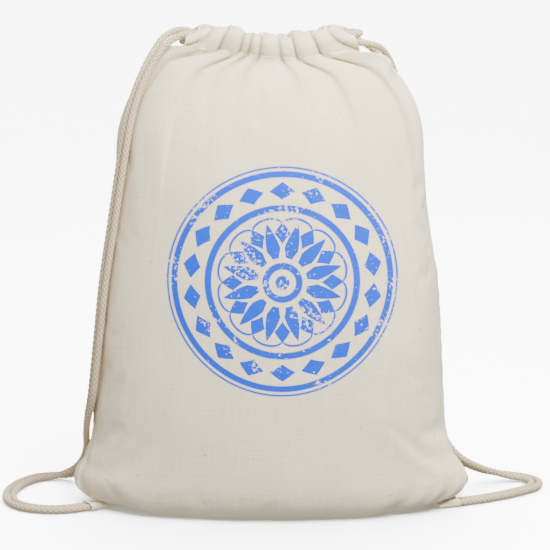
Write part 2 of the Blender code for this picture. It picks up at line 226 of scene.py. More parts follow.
# How far the front rim slumps at places along it
FRONT_SLUMP = [
    (-0.066, -0.0014), (-0.050, -0.0010), (-0.038, -0.0006), (-0.026, -0.0020),
    (-0.012, -0.0045), (0.004, -0.0058), (0.020, -0.0070), (0.032, -0.0062),
    (0.044, -0.0040), (0.054, -0.0024), (0.066, -0.0016),
]
SETTLING_COLUMNS, SETTLING_ROWS, SETTLING_FRAMES = 110, 84, 20
UNDER_ROWS = 13  # mesh cells under the base, between the bottom seam and the wall
CORD_SHADOW_DEPTH, CORD_SHADOW_WIDTH = 0.85, 0.0026  # painted shadow on the cloth where the cords lie against it
CREASE_SHADE_WIDTH = 0.026  # of the painted shade at a crease's bottom, along the rim
CREASE_LEAN = 0.28  # the creases spread by this share from the casing's top to its stitching


# ---------------------------------------------------------------- shader expressions


def sums(operation):
    """An operator between two sockets or numbers, and its reflected form."""
    def plain(a, b):
        return a.math(operation, a, b)

    def reflected(a, b):
        return a.math(operation, b, a)

    return plain, reflected


class Wire:
    """A shader socket that takes part in Python sums."""

    def __init__(self, maker, socket):
        self.maker = maker
        self.socket = socket

    def math(self, operation, *values):
        return self.maker.node("ShaderNodeMath", {"operation": operation}, *values)

    __add__, __radd__ = sums("ADD")
    __sub__, __rsub__ = sums("SUBTRACT")
    __mul__, __rmul__ = sums("MULTIPLY")
    __truediv__, __rtruediv__ = sums("DIVIDE")
    __pow__, __rpow__ = sums("POWER")
    low = sums("MINIMUM")[0]
    high = sums("MAXIMUM")[0]

    def sin(self):
        return self.math("SINE", self)

    def abs(self):
        return self.math("ABSOLUTE", self)

    def fract(self):
        return self.math("FRACT", self)

    def clip(self):
        return self.high(0.0).low(1.0)

    def above(self, edge, soft):
        """0 below the edge and 1 above it, over a soft width."""
        return ((self - (edge - soft / 2)) / soft).clip()


class Finish:
    """A material under construction: nodes come from one method, sums from Wire."""

    def __init__(self, name, roughness=0.9, **constants):
        self.material = bpy.data.materials.new(name)
        self.material.use_nodes = True
        self.tree = self.material.node_tree
        self.shader = self.tree.nodes["Principled BSDF"]
        self.set("Roughness", roughness)
        for socket, value in constants.items():
            self.set(socket.replace("_", " "), value)

    def feed(self, socket, value):
        if isinstance(value, Wire):
            self.tree.links.new(value.socket, socket)
        elif isinstance(value, (tuple, list)) and len(value) == 3 and socket.type == "RGBA":
            socket.default_value = (*value, 1.0)
        else:
            socket.default_value = value

    def set(self, name, value):
        self.feed(self.shader.inputs[name], value)

    def node(self, kind, settings=None, *values, out=0, **named):
        """One node: its settings first, then the values or links of its sockets."""
        made = self.tree.nodes.new(kind)
        for name, value in (settings or {}).items():
            setattr(made, name, value)
        for socket, value in zip(made.inputs, values):
            if value is not None:
                self.feed(socket, value)
        for name, value in named.items():
            self.feed(made.inputs[name.replace("_", " ")], value)
        return Wire(self, made.outputs[out])

    def attribute(self, name, out="Fac"):
        return self.node("ShaderNodeAttribute", {"attribute_name": name}, out=out)

    def parts(self, vector):
        made = self.tree.nodes.new("ShaderNodeSeparateXYZ")
        self.feed(made.inputs[0], vector)
        return [Wire(self, socket) for socket in made.outputs]

    def vector(self, x, y, z=0.0):
        return self.node("ShaderNodeCombineXYZ", None, x, y, z)

    def blend(self, factor, low, high):
        """A colour between two, by a factor."""
        made = self.tree.nodes.new("ShaderNodeMix")
        made.data_type = "RGBA"
        for name, value in (("Factor_Float", factor), ("A_Color", low), ("B_Color", high)):
            socket = next(s for s in made.inputs if s.identifier == name)
            self.feed(socket, value)
        return Wire(self, next(s for s in made.outputs if s.identifier == "Result_Color"))

    def noise(self, where, scale, detail=3.0, roughness=0.55):
        return self.node(
            "ShaderNodeTexNoise", Vector=where, Scale=scale, Detail=detail, Roughness=roughness,
        )

    def spots(self, where, scale):
        """Distance to the nearest of scattered points, in cells."""
        return self.node(
            "ShaderNodeTexVoronoi", {"feature": "F1", "voronoi_dimensions": "2D"},
            Vector=where, Scale=scale,
        )

    def bump(self, height, distance, strength):
        return self.node("ShaderNodeBump", Strength=strength, Distance=distance, Height=height)


# ---------------------------------------------------------------- mesh helpers


def smooth_step(value):
    value = np.clip(value, 0.0, 1.0)
    return value * value * (3 - 2 * value)


def hump(value, width, middle=0.0):
    """1 at the middle, falling to 0 on both sides."""
    return np.exp(-(((value - middle) / width) ** 2))


def hermite(t, low, high, low_slope, high_slope):
    """A cubic curve from low to high with the given slopes at its ends."""
    return (
        (2 * t**3 - 3 * t**2 + 1) * low + (t**3 - 2 * t**2 + t) * low_slope
        + (3 * t**2 - 2 * t**3) * high + (t**3 - t**2) * high_slope
    )


def walked_along(points):
    """Distance from the first of a row of points to each of them."""
    return np.concatenate([[0], np.cumsum(np.linalg.norm(np.diff(points, axis=0), axis=1))])


def bag_settings():
    return bpy.context.scene.backpack_cloth


def cord_settings():
    return bpy.context.scene.backpack_cord


def new_piece(name, points, faces, body, stands_for, finish, smooth=True):
    """A mesh piece that rides a body and stands for nodes of the frame."""
    mesh = bpy.data.meshes.new(name)
    mesh.from_pydata([tuple(p) for p in points], [], [tuple(f) for f in faces])
    mesh.update()
    if smooth:
        mesh.shade_smooth()
    piece = bpy.data.objects.new(name, mesh)
    bpy.context.scene.collection.objects.link(piece)
    mesh.materials.append(finish)
    if body:
        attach(piece, body)
    if stands_for:
        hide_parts(*stands_for)
    return piece


def grid_faces(rows, columns, closed=False, flip=False):
    """Faces of a grid of points stored row by row; closed joins the last column to the first."""
    faces = []
    for r in range(rows - 1):
        for c in range(columns if closed else columns - 1):
            d = (c + 1) % columns
            quad = (r * columns + c, r * columns + d, (r + 1) * columns + d, (r + 1) * columns + c)
            faces.append(quad[::-1] if flip else quad)
    return faces


def tube_faces(rings, around):
    """Faces of a tube of rings, closed at its ends by two points that follow the rings' points."""
    faces = grid_faces(rings, around, closed=True)
    first, last, ends = rings * around, rings * around + 1, (rings - 1) * around
    for i in range(around):
        j = (i + 1) % around
        faces += [(first, j, i), (last, ends + i, ends + j)]
    return faces


def add_numbers(mesh, name, values):
    """A number or a vector stored at each point of a mesh."""
    values = np.asarray(values, dtype=np.float32)
    if values.ndim == 1:
        mesh.attributes.new(name, "FLOAT", "POINT").data.foreach_set("value", values)
    else:
        mesh.attributes.new(name, "FLOAT_VECTOR", "POINT").data.foreach_set("vector", values.ravel())


def finish_for(name, make):
    """A material made once and shared."""
    found = bpy.data.materials.get(name)
    return found if found else make(name)


def smooth_noise(u, v, across, up, seed):
    """Smooth noise over u and v from 0 to 1, with so many cells each way."""
    lattice = np.random.default_rng(seed).uniform(-1, 1, (across + 2, up + 2))
    x = np.clip(u, 0, 1) * across
    y = np.clip(v, 0, 1) * up
    i, j = np.floor(x).astype(int), np.floor(y).astype(int)
    fx, fy = smooth_step(x - i), smooth_step(y - j)
    low = lattice[i, j] * (1 - fx) + lattice[i + 1, j] * fx
    high = lattice[i, j + 1] * (1 - fx) + lattice[i + 1, j + 1] * fx
    return low * (1 - fy) + high * fy


# ---------------------------------------------------------------- the bag's shape


def creases_of(side):
    return FRONT_CREASES if side < 0 else BACK_CREASES


def level(share):
    """Height, half width and half depth at shares of the way up the wall, on a smooth curve."""
    along = walked_along(LEVELS)
    along /= along[-1]
    slopes = np.gradient(LEVELS, along, axis=0)
    share = np.asarray(share, dtype=float)
    i = np.clip(np.searchsorted(along, share) - 1, 0, len(along) - 2)
    span = along[i + 1] - along[i]
    t = ((share - along[i]) / span)[..., None]
    span = span[..., None]
    found = hermite(t, LEVELS[i], LEVELS[i + 1], span * slopes[i], span * slopes[i + 1])
    return found[..., 0], found[..., 1], found[..., 2]


def casing_y(x, side):
    """Middle line of a casing: side is -1 at the front and 1 at the back."""
    bump = np.clip(1 - (np.asarray(x) / BOW_HALF) ** 2, 0, None) ** 2
    return side * (CASING_END_Y + CASING_BOW * bump)


def rim_slump(x, side):
    """How far the gathered mouth slumps between its ends: towards the other rim, and down."""
    x = np.asarray(x, dtype=float)
    middle = np.clip(1 - (x / CASING_HALF) ** 2, 0, None) ** 1.5
    if side > 0:
        return -BACK_INWARD * middle, -BACK_DROP * middle
    places, drops = zip(*FRONT_SLUMP)
    return FRONT_OUTWARD * middle, np.interp(x, places, drops)


def seam_gap(u):
    return SEAM_GAP + (CORNER_GAP - SEAM_GAP) * np.abs(u) ** 6


def wall_points(u, share, side):
    """Points on the outside of the wall; u runs from -1 at the left seam to 1 at the right one."""
    height, half_width, half_depth = level(share)
    drop = np.clip(1 - height / SEAM_SWING, 0, None)
    edge = math.pi / 2 - (math.pi / 2 - CORNER_ANGLE) * drop**1.5
    angle = u * edge if side < 0 else math.pi - u * (math.pi - edge)
    lift = CORNER_LIFT * smooth_step((np.abs(np.sin(angle)) - LIFT_FROM) / (1 - LIFT_FROM))
    lift = lift * np.clip(1 - height / 0.05, 0, None)
    x = half_width * np.sin(angle)
    y = -half_depth * np.cos(angle) + side * seam_gap(u) * (1 - 1.1 * np.abs(u) ** 30)
    neck = smooth_step((share - NECK_FROM) / (1 - NECK_FROM))
    x = x + neck * (u * NECK_HALF - x)
    y = y + neck * (casing_y(u * NECK_HALF, side) + side * NECK_OUT * (1 - u**8) - y)
    slump = smooth_step((share - 0.84) / 0.16)
    inward, drop = rim_slump(u * NECK_HALF, side)
    return np.stack([x, y + slump * inward, height + lift + NECK_RISE * neck + slump * drop], axis=-1)


def seam_points(u, side):
    """Points on the bottom seam."""
    return np.stack([
        BOTTOM_SEAM_HALF * u,
        -0.004 - BOTTOM_SEAM_FORWARD * u**4 + side * seam_gap(u),
        (CORNER_LIFT - 0.0015) * smooth_step((np.abs(u) - 0.45) / 0.55),
    ], axis=-1)


def lobes(place, creases, fade):
    """How far the gathered cloth stands out of its creases; fade is the share of the wall above it."""
    out = np.zeros(np.broadcast(place, fade).shape)
    for (start, height, reach), (end, _, _) in zip(creases, creases[1:]):
        t = (place - start) / (end - start)
        inside = (t > 0) & (t < 1)
        t = np.clip(t, 0, 1)
        bulge = (4 * t * (1 - t)) ** 0.38
        out += np.where(inside, height * bulge * np.exp(-((fade / reach) ** 1.3)), 0)
    return out


def painted_crease_shade(place, creases, fade):
    """Painted shade in the gathered creases: how deep in a crease the cloth lies, from 0 to 1."""
    found = np.zeros(np.broadcast(place, fade).shape)
    for start, _, reach in creases[1:-1]:
        line = hump(place, CREASE_SHADE_WIDTH, start) * np.exp(-((fade / reach) ** 1.3))
        found = np.maximum(found, line)
    return found


def surface_normals(points):
    """Unit normals of a grid of points."""
    across = np.gradient(points, axis=1)
    up = np.gradient(points, axis=0)
    normal = np.cross(across, up)
    return normal / np.maximum(np.linalg.norm(normal, axis=-1, keepdims=True), 1e-12)


# ---------------------------------------------------------------- finishes


def add_weave(f, where, thread):
    """Height of a plain weave and of its thick and thin threads."""
    u, v, _ = f.parts(where)
    over = (u * (math.pi / thread)).sin() * (v * (math.pi / thread)).sin()
    weft = f.noise(f.vector(u * 28.0, v * (0.9 / thread)), 1.0, 2.0)
    warp = f.noise(f.vector(u * (0.9 / thread), v * 22.0), 1.0, 2.0)
    return over, weft, warp


def cotton_base(f, where, settings):
    """Colour and surface height of unbleached cotton."""
    over, weft, warp = add_weave(f, where, settings.thread_pitch)
    cloud = f.noise(where, 14.0, 4.0)
    streak = (weft + warp - 1.0) * 1.7
    tone = ((cloud - 0.5) * 0.9 + streak + 0.55).clip()
    colour = f.blend(tone, tuple(settings.shade_colour), tuple(settings.cloth_colour))
    seeds = f.spots(where, 31.0)
    small = f.spots(where, 83.0)
    rare = f.noise(where, 21.0, 1.0)
    flecks = (1.0 - seeds.above(0.022, 0.016)) * rare.above(0.56, 0.03) * 0.8
    flecks = flecks.high((1.0 - small.above(0.036, 0.03)) * (1.0 - rare.above(0.42, 0.04)) * 0.6)
    colour = f.blend(flecks, colour, tuple(settings.fleck_colour))
    # painted shade: the cloth is darkened in the gathered creases and painted shadow is laid along the
    # cords
    colour = f.blend(f.attribute("painted_shade") * 0.8, colour, tuple(settings.crease_shade_colour))
    height = over * 0.35 + (weft + warp) * 1.6 + flecks * 0.6
    return colour, height


def cotton_finish(name):
    settings = bag_settings()
    f = Finish(name, COTTON_ROUGHNESS, **COTTON_SHEEN)
    colour, height = cotton_base(f, f.attribute("cloth", "Vector"), settings)
    f.set("Base Color", colour)
    f.set("Normal", f.bump(height, WEAVE_RELIEF, 0.8))
    return f.material


def medallion(f, where):
    """Ink cover of the round print: rings, a band of lozenges and a many-rayed rosette."""
    x, y, _ = f.parts(where)
    radius = (x * x + y * y) ** 0.5
    turn = f.node("ShaderNodeMath", {"operation": "ARCTAN2"}, y, x) / (2 * math.pi) + 0.5
    soft = 0.010

    def ring(low, high):
        return radius.above(low, soft) * (1.0 - radius.above(high, soft))

    def petals(count, shift=0.0):
        return ((turn * count + shift).fract() - 0.5).abs() * 2.0

    rim = ring(0.981, 1.0).high(ring(0.905, 0.960))
    inner = ring(0.612, 0.672)
    lozenge = petals(18.0) * 0.80 + (radius - 0.790).abs() * 8.6
    band = 1.0 - lozenge.above(0.66, 0.06)
    long_ray = petals(12.0) + (radius - 0.300).abs() * 3.4
    rays = (1.0 - long_ray.above(0.78, 0.05)) * radius.above(0.215, soft)
    short_ray = petals(12.0, 0.5) + (radius - 0.430).abs() * 6.5
    rays = rays.high(1.0 - short_ray.above(0.62, 0.05))
    heart = ring(0.115, 0.175).high(1.0 - radius.above(0.062, soft))
    arches = petals(12.0)
    edge = (1.0 - arches * arches) ** 0.5 * 0.060 + 0.492
    arc = radius.above(edge, soft) * (1.0 - radius.above(edge + 0.022, soft))
    return rim.high(inner).high(band).high(rays).high(heart).high(arc)


def printed_finish(name):
    settings = bag_settings()
    f = Finish(name, COTTON_ROUGHNESS, **COTTON_SHEEN)
    where = f.attribute("cloth", "Vector")
    colour, height = cotton_base(f, where, settings)
    ink = medallion(f, f.attribute("print_at", "Vector"))
    patch = f.noise(where, 24.0, 2.0).above(0.55, 0.12)
    worn = f.noise(where, 330.0, 3.0, 0.7) - patch * 0.14
    ink = ink * worn.above(0.31, 0.05)
    shade = f.noise(where, 60.0, 2.0)
    blue = f.blend(shade, tuple(settings.ink_colour), tuple(settings.ink_light))
    f.set("Base Color", f.blend(ink, colour, blue))
    f.set("Roughness", ink * -0.12 + COTTON_ROUGHNESS)
    f.set("Normal", f.bump(height, WEAVE_RELIEF, 0.8))
    return f.material


def cord_finish(name):
    settings = cord_settings()
    f = Finish(name, 0.88, Sheen_Weight=0.25, Sheen_Roughness=0.5, Specular_IOR_Level=0.2)
    depth = f.attribute("depth")
    where = f.attribute("along", "Vector")
    fibre = f.noise(where, 1.0, 3.0)
    # painted shade: the braid is darkened in its crevices, by the depth of each point in it
    tone = ((depth - 0.38) * 2.0 + (fibre - 0.5) * 0.45).clip()
    colour = f.blend(tone, tuple(settings.crevice_shade_colour), tuple(settings.cord_colour))
    f.set("Base Color", colour)
    f.set("Normal", f.bump(fibre, 0.00012, 0.7))
    return f.material


def thread_finish(name):
    settings = bag_settings()
    f = Finish(name, 0.8, Sheen_Weight=0.2, Specular_IOR_Level=0.25)
    where = f.node("ShaderNodeTexCoord", out=3)
    twist = f.noise(where, 900.0, 2.0)
    f.set("Base Color", f.blend(twist, tuple(settings.thread_shade), tuple(settings.thread_colour)))
    f.set("Normal", f.bump(twist, 0.0001, 0.5))
    return f.material


def floor_finish(name):
    f = Finish(name, 0.6, Specular_IOR_Level=0.2)
    grain = f.noise(f.node("ShaderNodeTexCoord", out=3), 3.0, 3.0)
    f.set("Base Color", f.blend(grain, (0.86, 0.86, 0.865), (0.89, 0.89, 0.895)))
    return f.material


# ---------------------------------------------------------------- cords


def strand_route(pair, share):
    """A strand's middle line; share is 1 for the front casing's strand, -1 for the back casing's."""
    route = [Vector(middle) + share * Vector(aside) for middle, aside in pair]
    start = Vector((math.copysign(STRAND_START, route[0].x), route[0].y, route[0].z))
    last = route[-1] + (route[-1] - route[-2]).normalized() * STRAND_TUCKED
    return [start, *route, last]


def smooth_path(route, spacing):
    """Even points along a smooth curve through a route's points."""
    route = [Vector(p) for p in route]
    fine = []
    for k in range(len(route) - 1):
        before, after = route[max(k - 1, 0)], route[min(k + 2, len(route) - 1)]
        slopes = (route[k + 1] - before) / 2, (after - route[k]) / 2
        fine += [hermite(i / CURVE_STEPS, route[k], route[k + 1], *slopes) for i in range(CURVE_STEPS)]
    fine.append(route[-1])
    fine = np.array([tuple(p) for p in fine])
    walked = walked_along(fine)
    count = max(4, round(walked[-1] / spacing))
    spots = np.linspace(0, walked[-1], count + 1)
    return np.stack([np.interp(spots, walked, fine[:, k]) for k in range(3)], axis=1), walked[-1]


def carried_frames(path):
    """Two directions across a path, carried along it without twist."""
    tangent = np.gradient(path, axis=0)
    tangent /= np.linalg.norm(tangent, axis=1, keepdims=True)
    side = np.cross(tangent[0], (0.3, 0.9, 0.2))
    side /= np.linalg.norm(side)
    sides = []
    for way in tangent:
        side = side - way * np.dot(side, way)
        side = side / np.linalg.norm(side)
        sides.append(side)
    sides = np.array(sides)
    return sides, np.cross(tangent, sides)


def braid_height(turn, run, carriers, lay):
    """Height of a round braid's yarns: each passes over and under those that cross it."""
    a = turn * carriers + run / lay
    b = turn * carriers - run / lay
    row, column = np.floor(a), np.floor(b)
    fa, fb = a - row - 0.5, b - column - 0.5
    round_a = np.sqrt(np.clip(1 - (1.9 * fa) ** 2, 0, 1))
    round_b = np.sqrt(np.clip(1 - (1.9 * fb) ** 2, 0, 1))
    wave_a = np.cos(math.pi * (b - 0.5 + row))
    wave_b = -np.cos(math.pi * (a - 0.5 + column))
    return np.maximum(0.62 * round_a + 0.38 * wave_a, 0.62 * round_b + 0.38 * wave_b)


def cord_piece(name, route, body, stands_for):
    """A braided cord: a tube whose surface is worked into the yarns of the braid."""
    settings = cord_settings()
    path, length = smooth_path(route, settings.mesh_step)
    side, up = carried_frames(path)
    around = settings.mesh_around
    turn = np.arange(around) / around
    angle = 2 * math.pi * turn
    run = np.linspace(0, length, len(path))
    height = braid_height(turn[None, :], run[:, None], CARRIERS, settings.yarn_lay)
    mean = settings.diameter / 2 - settings.braid_relief * 0.92
    radius = mean + settings.braid_relief * np.clip(height, -0.2, 1)
    ring = side[:, None] * np.cos(angle)[None, :, None] + up[:, None] * np.sin(angle)[None, :, None]
    points = (path[:, None] + ring * radius[..., None]).reshape(-1, 3)
    faces = tube_faces(len(path), around)
    points = np.vstack([points, path[0], path[-1]])
    piece = new_piece(
        name, points, faces, body, stands_for, finish_for("braided_cord", cord_finish),
    )
    # depth in the braid, which the cord's finish turns into painted shade in the crevices
    depth = np.concatenate([np.clip(height + 0.15, 0, 1).ravel(), [0.2, 0.2]])
    along = np.stack([
        np.tile(np.cos(angle), len(path)) * 3.0,
        np.tile(np.sin(angle), len(path)) * 3.0,
        np.repeat(run, around) * 900.0,
    ], axis=1)
    add_numbers(piece.data, "depth", depth)
    add_numbers(piece.data, "along", np.vstack([along, along[:1], along[-1:]]))
    return piece, path, length


class BACKPACK_OT_strands(bpy.types.Operator):
    """Make the four free strands of cord, two at each side"""

    bl_idname = "backpack.strands"
    bl_label = "Free Strands"

    def execute(self, context):
        for hand, pair in (("left", LEFT_PAIR), ("right", RIGHT_PAIR)):
            for word, share in (("front", 1), ("back", -1)):
                node = f"{hand}_cord_{word}_strand"
                route = strand_route(pair, share)
                piece, path, length = cord_piece(node + "_braid", route, hand + "_strap", [node])
        return {"FINISHED"}


class BACKPACK_OT_runs(bpy.types.Operator):
    """Make the cord inside the casings and its turn from one casing into the other"""

    bl_idname = "backpack.runs"
    bl_label = "Runs and Turns"

    def execute(self, context):
        for side, word in ((-1, "front"), (1, "back")):
            for hand, rise in (("left", RUN_RISE), ("right", -RUN_RISE)):
                route = []
                for x in np.linspace(-RUN_END + 0.0002, RUN_END - 0.0002, 23):
                    inward, drop = rim_slump(x, side)
                    route.append((x, float(casing_y(x, side) + inward), float(CASING_Z + rise + drop)))
                node = f"{hand}_cord_{word}_run"
                cord_piece(node + "_braid", route, word + "_rim", [node])
        for hand, end, rise in (("left", 1, RUN_RISE), ("right", -1, -RUN_RISE)):
            bend = [
                (
                    end * (RUN_END + 0.0018 + TURN_RADIUS * math.cos(a)),
                    TURN_RADIUS * math.sin(a),
                    CASING_Z + rise,
                )
                for a in np.linspace(-math.pi / 2, math.pi / 2, 13)
            ]
            stub = [(end * (RUN_END + 0.0004), y, CASING_Z + rise) for y in (-TURN_RADIUS, TURN_RADIUS)]
            node = f"{hand}_cord_turn"
            cord_piece(node + "_braid", [stub[0], *bend, stub[1]], "bag", [node])
        return {"FINISHED"}


# ---------------------------------------------------------------- cloth


def thicken(piece, thickness):
    """Give a sheet its thickness, on its inner side."""
    solid = piece.modifiers.new("cloth", "SOLIDIFY")
    solid.thickness = thickness
    solid.offset = -1
    solid.use_even_offset = False


def panel_grid(side, columns, rows):
    """Points of one panel, from the bottom seam under the base and up the wall to the mouth."""
    u = np.linspace(-1, 1, columns + 1)
    share = np.linspace(0, 1, rows + 1)
    under = np.linspace(0, 1, UNDER_ROWS + 1)[:-1]
    seam = seam_points(u, side)
    foot = wall_points(u, np.zeros_like(u), side)
    base = seam[None] + (foot - seam)[None] * under[:, None, None]
    grid_u, grid_s = np.meshgrid(u, share)
    wall = wall_points(grid_u, grid_s, side)
    points = np.concatenate([base, wall])
    grid_u = np.concatenate([np.tile(u, (len(under), 1)), grid_u])
    grid_s = np.concatenate([np.tile(under[:, None] * 0.08 - 0.08, (1, len(u))), grid_s])
    return points, grid_u, grid_s


def crease_place(u, fade):
    """Where the creases above a point start along the rim; they spread on the way down."""
    return u / (1 + CREASE_LEAN + 0.16 * (1 - np.exp(-fade / 0.12)))


def panel_folds(u, share, side):
    """How far the cloth stands out from the plain shape, along its normal."""
    creases = creases_of(side)
    seed = 3 if side < 0 else 11
    settings = bag_settings()
    fade = np.clip(1 - share, 0, None)
    gathered = lobes(crease_place(u, fade), creases, fade * 2.4) - 0.42 * np.exp(-fade / 0.16)
    gathered *= settings.fold_depth
    on_wall = smooth_step(share / 0.05)
    v = np.clip(share, 0, 1)
    half = (u + 1) / 2
    from_seam = 1 - np.abs(u)
    drape = smooth_noise(half, v, 13, 4, seed) * DRAPE
    drape += smooth_noise(half, v, 31, 8, seed + 1) * FINE_DRAPE
    drape *= (0.35 + 0.65 * np.abs(u)) * (1 - 0.5 * hump(fade, 0.1))
    drape += smooth_noise(half, v, 22, 6, seed + 5) * FOOT_DRAPE * hump(v, 0.14)
    corner = hump(from_seam, 0.35) * hump(v, 0.10, 0.10)
    drape += smooth_noise(half, v, 9, 34, seed + 2) * CRUMPLE * corner
    seam = SEAM_SWELL * hump(from_seam, 0.30) - SEAM_VALLEY * hump(from_seam, 0.016)
    seam += PUCKER * np.sin(share * 190.0 + 3 * np.sin(share * 31)) * np.exp(-from_seam / 0.03)
    if side < 0:
        seam += SEAM_RIDGE * hump(from_seam, 0.011, 0.016)
    # the cloth bulges out behind the left strands, low down
    bulge = CORD_BULGE * hump(share, 0.10, 0.25) * hump(u, 0.30, -1)
    free = smooth_step(from_seam / 0.07)
    return (gathered + drape * on_wall) * free + seam * on_wall + bulge


def flat_places(points):
    """Where each point lies on the flat cloth, in metres."""
    step_u = np.linalg.norm(np.diff(points, axis=1), axis=2)
    across = np.concatenate([np.zeros((len(points), 1)), np.cumsum(step_u, axis=1)], axis=1)
    across = across - across[:, -1:] / 2
    widest = np.median(across[:, -1])
    across = across / np.maximum(across[:, -1:], 1e-6) * widest
    step_v = np.linalg.norm(np.diff(points, axis=0), axis=2)
    up = np.concatenate([[0], np.cumsum(step_v.mean(axis=1))])
    return across, np.repeat(up[:, None], points.shape[1], axis=1)


def folded_grid(side, columns, rows):
    """A panel with its gathers and soft folds, and its plain shape."""
    plain, u, share = panel_grid(side, columns, rows)
    outward = surface_normals(plain) * (1 if side < 0 else -1)
    level_out = smooth_step((share - 0.91) / 0.09)[..., None]
    outward = outward * (1 - level_out) + np.array((0, side, 0)) * level_out
    outward /= np.linalg.norm(outward, axis=-1, keepdims=True)
    folded = plain + outward * panel_folds(u, share, side)[..., None]
    if side < 0:  # full folds at the shoulders, under the cords where they leave the casing's ends
        settings = bag_settings()
        for place, reach in ((-0.86, settings.left_puff), (0.90, settings.right_puff)):
            puff = hump(u, 0.13, place) * hump(share, 0.042, 0.950)
            puff = puff * smooth_step((1 - np.abs(u)) / 0.05 + 0.25) * smooth_step((1 - share) / 0.02)
            folded = folded + puff[..., None] * np.array(reach)
    return plain, folded, u, share


def cut_places(grid, share, width):
    """The same grid laid out flat at its cut size; the gathers at the mouth take up only part of it."""
    step = np.linalg.norm(np.diff(grid, axis=1), axis=2)
    across = np.concatenate([np.zeros((len(grid), 1)), np.cumsum(step, axis=1)], axis=1)
    found = across[:, -1:]
    wanted = np.where(share[:, :1] > 0.02, np.minimum(np.maximum(width, found), found * 1.12), found)
    rise = np.linalg.norm(np.diff(grid, axis=0), axis=2).mean(axis=1)
    up = np.concatenate([[0], np.cumsum(rise)])[:, None] + 0 * across
    return np.stack([(across / found - 0.5) * wanted, 0 * across, up], axis=-1)


def settle(starts, share):
    """Let the filled bag's cloth settle: cut wider than its shape, it wrinkles as it is pushed out."""
    settings = bag_settings()
    rows, columns = share.shape
    front = np.arange(rows * columns).reshape(rows, columns)
    back = np.zeros_like(front)
    back[1:, 1:-1] = rows * columns + np.arange((rows - 1) * (columns - 2)).reshape(rows - 1, -1)
    back[:, 0], back[:, -1], back[0] = front[:, 0], front[:, -1], front[0]
    cuts = [cut_places(grid, share, settings.flat_width) for grid in starts]
    total = int(back.max()) + 1
    start, cut = np.zeros((total, 3)), np.zeros((total, 3))
    for index, grid, flat in ((back, starts[1], cuts[1]), (front, starts[0], cuts[0])):
        start[index], cut[index] = grid, flat
    quads = grid_faces(rows, columns)
    faces = [tuple(front.flat[i] for i in quad) for quad in quads]
    faces += [tuple(back.flat[i] for i in quad[::-1]) for quad in quads]
    mesh = bpy.data.meshes.new("settling")
    mesh.from_pydata(start.tolist(), [], faces)
    cloth = bpy.data.objects.new("settling", mesh)
    scene = bpy.context.scene
    scene.collection.objects.link(cloth)
    cloth.shape_key_add(name="shape")
    flat_key = cloth.shape_key_add(name="cut")
    flat_key.data.foreach_set("co", cut.astype(np.float32).ravel())
    held = cloth.vertex_groups.new(name="held")
    for index in (front, back):
        fixed = index[(share < HELD_BELOW) | (share > HELD_ABOVE)]
        held.add([int(i) for i in fixed.ravel()], 1.0, "REPLACE")
    simulation = cloth.modifiers.new("Cloth", "CLOTH")
    physics = simulation.settings
    physics.quality = 6
    physics.mass = CLOTH_MASS
    physics.tension_stiffness = physics.compression_stiffness = STRETCH
    physics.shear_stiffness = SHEAR
    physics.bending_stiffness = settings.cloth_stiffness
    physics.use_pressure = True
    physics.uniform_pressure_force = settings.filling_pressure
    physics.vertex_group_mass = "held"
    physics.rest_shape_key = flat_key
    physics.effector_weights.gravity = 0
    simulation.point_cache.frame_end = SETTLING_FRAMES
    for frame in range(1, SETTLING_FRAMES + 1):
        scene.frame_set(frame)
    found = cloth.evaluated_get(bpy.context.evaluated_depsgraph_get()).data
    moved = np.zeros(total * 3, dtype=np.float32)
    found.vertices.foreach_get("co", moved)
    moved = moved.reshape(-1, 3) - start
    scene.frame_set(1)
    bpy.data.objects.remove(cloth)
    bpy.data.meshes.remove(mesh)
    far = np.maximum(np.linalg.norm(moved, axis=1, keepdims=True), 1e-9)
    moved = moved * np.tanh(far / settings.most_move) * settings.most_move / far
    return [moved[front], moved[back]]


def finer(field, rows, columns):
    """A grid's values at more rows and columns, on smooth curves."""
    for axis, count in ((0, rows), (1, columns)):
        field = np.moveaxis(field, axis, 0)
        last = len(field) - 1
        spots = np.linspace(0, last, count)
        i = np.minimum(spots.astype(int), last - 1)
        t = (spots - i).reshape(-1, *[1] * (field.ndim - 1))
        before, after = field[np.maximum(i - 1, 0)], field[np.minimum(i + 2, last)]
        field = hermite(t, field[i], field[i + 1], (field[i + 1] - before) / 2, (after - field[i]) / 2)
        field = np.moveaxis(field, 0, axis)
    return field


def clear_of_cords(points):
    """Points pushed into the bag where a strand lies against them, and how much painted shadow the
    strands lay on them.
    """
    middles = []
    for pair in (LEFT_PAIR, RIGHT_PAIR):
        for share in (1, -1):
            middles.append(smooth_path(strand_route(pair, share), 0.001)[0])
    middles = np.vstack(middles)
    tree = KDTree(len(middles))
    for k, middle in enumerate(middles):
        tree.insert(middle, k)
    tree.balance()
    room = cord_settings().diameter / 2 + CORD_ROOM
    shape = points.shape
    points = points.reshape(-1, 3).copy()
    cord_shadow = np.zeros(len(points))
    for k, point in enumerate(points):
        middle, _, distance = tree.find(point)
        # painted shadow beside the strand, strongest where it lies against the cloth
        cord_shadow[k] = CORD_SHADOW_DEPTH * math.exp(-max(distance - room, 0) / CORD_SHADOW_WIDTH)
        if distance < room:
            core = Vector((CORE_SHARE * point[0], 0.0, min(CORE_TOP, point[2])))
            inward = (core - middle).normalized()
            points[k] = Vector(point) + inward * (room - distance)
    return points.reshape(shape), cord_shadow


